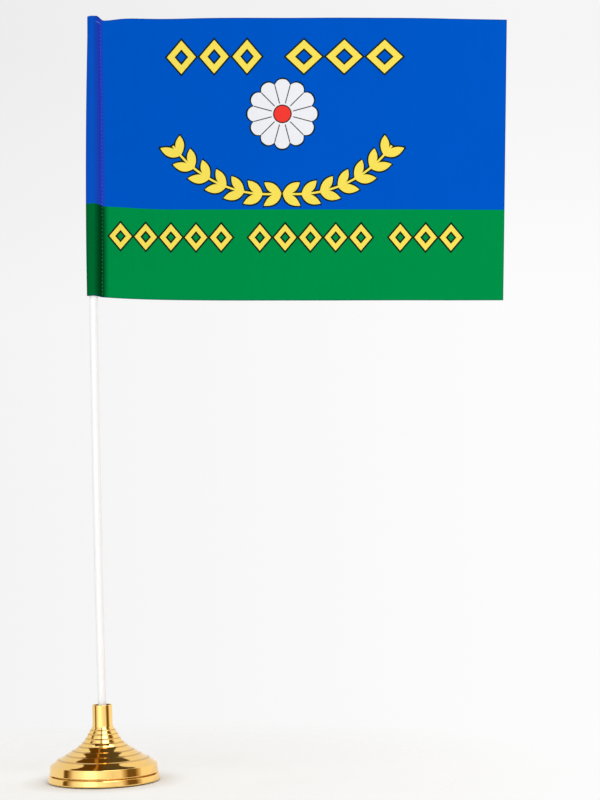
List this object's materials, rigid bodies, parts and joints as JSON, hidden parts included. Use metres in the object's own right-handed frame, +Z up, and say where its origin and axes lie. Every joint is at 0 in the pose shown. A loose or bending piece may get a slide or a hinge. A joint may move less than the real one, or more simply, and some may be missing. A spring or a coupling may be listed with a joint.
{
  "type": "desk flag stand",
  "caption": "Small flag sewn round a slim white pole that stands in a weighted, stepped gold base; the flag turns about the pole and the pole lifts out of its socket.",
  "frame": {"origin": "centre of the base's underside, on the axis of the socket, where the stand rests", "axes": "+Z up along the socket; +X from the pole towards the flag's free end; the flag's front faces -Y"},
  "size_m": [0.2551, 0.06, 0.4092],
  "materials": {
    "plated_gold": "polished",
    "ballast_iron": "matte",
    "socket_plastic": "matte",
    "pad_foam": "matte",
    "pole_plastic": "satin",
    "flag_polyester": "matte",
    "sewing_thread": "matte"
  },
  "bodies": {
    "base": {"base_bell": "plated_gold", "foot_tray": "plated_gold", "ballast_ring": "ballast_iron", "pole_socket": "socket_plastic", "base_pad": "pad_foam"},
    "pole": {"pole": "pole_plastic"},
    "flag": {"flag_cloth": "flag_polyester", "seam_thread_front": "sewing_thread", "seam_thread_back": "sewing_thread", "sleeve_top_tack": "sewing_thread"}
  },
  "joints": [
    {"name": "pole_lift", "type": "slide", "parent": "base", "child": "pole", "axis": [0, 0, 1], "range_m": [0, 0.029]},
    {"name": "flag_turn", "type": "hinge", "parent": "pole", "child": "flag", "pos_m": [0.00294, 0, 0.3335], "axis": [0.024, 0, 0.9997], "continuous": true}
  ]
}
